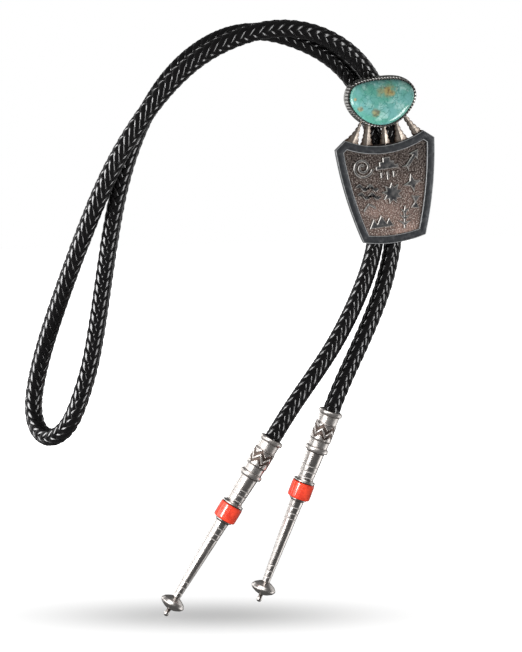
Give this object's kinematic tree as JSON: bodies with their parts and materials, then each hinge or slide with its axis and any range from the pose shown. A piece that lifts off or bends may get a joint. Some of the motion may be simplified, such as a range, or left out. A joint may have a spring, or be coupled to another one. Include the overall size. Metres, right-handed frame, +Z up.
{
  "type": "bolo tie",
  "caption": "Bolo tie: a black braided leather cord doubled through a darkened silver shield slide with a turquoise, ending in slim silver tips with coral bands.",
  "frame": {"origin": "under the top of the cord's arch, between its two strands, where the tie hangs", "axes": "+Z up, the slide faces -Y, +X to the right as the slide is seen from its front"},
  "size_m": [0.1666, 0.0354, 0.2439],
  "materials": {
    "black_leather": "glossy black plaited leather",
    "darkened_silver": "polished raised work over a stippled, darkened ground",
    "turquoise": "polished opaque stone with brown veins",
    "clip_metal": "plain brushed metal",
    "polished_silver": "polished silver, dark in its grooves",
    "coral": "polished opaque coral"
  },
  "bodies": {
    "root": {"braided_cord": "black_leather", "slide_body": "darkened_silver", "turquoise_stone": "turquoise", "cord_clip": "clip_metal", "left_tip": "polished_silver", "left_coral_band": "coral", "right_tip": "polished_silver", "right_coral_band": "coral"}
  },
  "joints": []
}
